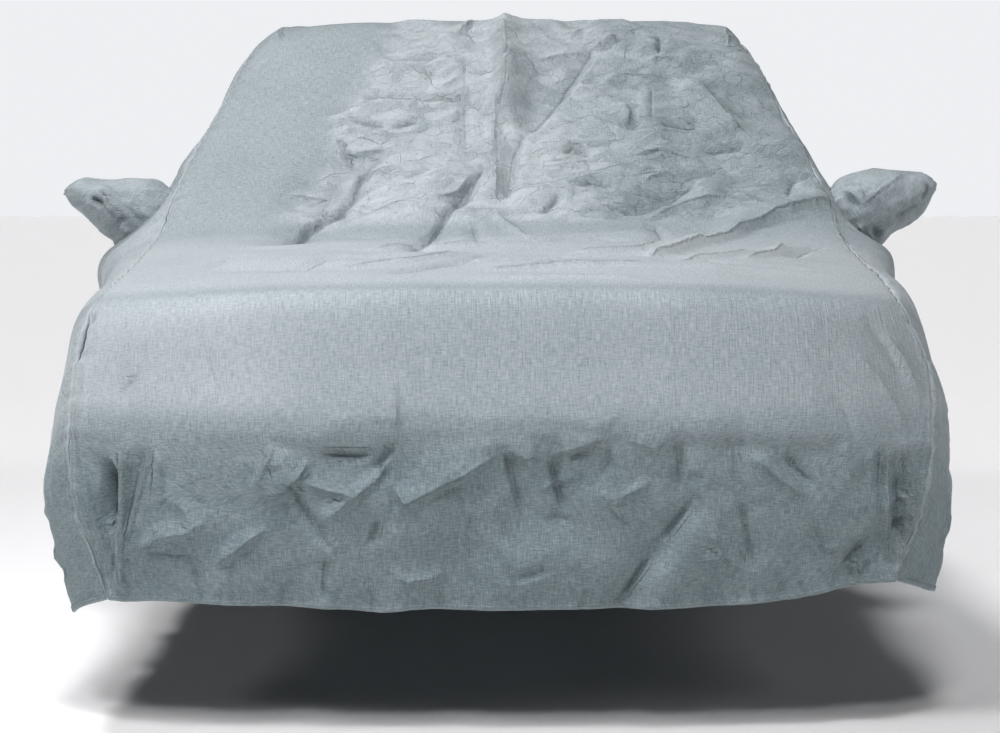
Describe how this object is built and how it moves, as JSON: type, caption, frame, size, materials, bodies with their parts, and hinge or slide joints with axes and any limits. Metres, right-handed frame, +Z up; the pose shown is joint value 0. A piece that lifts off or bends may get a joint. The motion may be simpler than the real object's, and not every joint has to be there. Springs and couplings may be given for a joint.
{
  "type": "car cover",
  "caption": "Fitted fabric car cover in the shape in which it drapes over a compact hatchback, hollow underneath, with a pocket for each door mirror and a gathered elastic hem.",
  "frame": {"origin": "on the underside of the cloth at the middle of the roof, where the covered car's roof holds it up", "axes": "+Z up, +Y from the front of the cover to its rear, +X towards mirror_pocket_right, which is to the right of someone who faces the front of the cover"},
  "size_m": [2.1088, 3.9939, 1.3215],
  "materials": {
    "cover_cloth": "matt silver-grey nonwoven cloth with a fine linen-like texture and a faint sheen"
  },
  "bodies": {
    "root": {"centre_panel": "cover_cloth", "side_panel_left": "cover_cloth", "side_panel_right": "cover_cloth", "mirror_pocket_left": "cover_cloth", "mirror_pocket_right": "cover_cloth"}
  },
  "joints": []
}
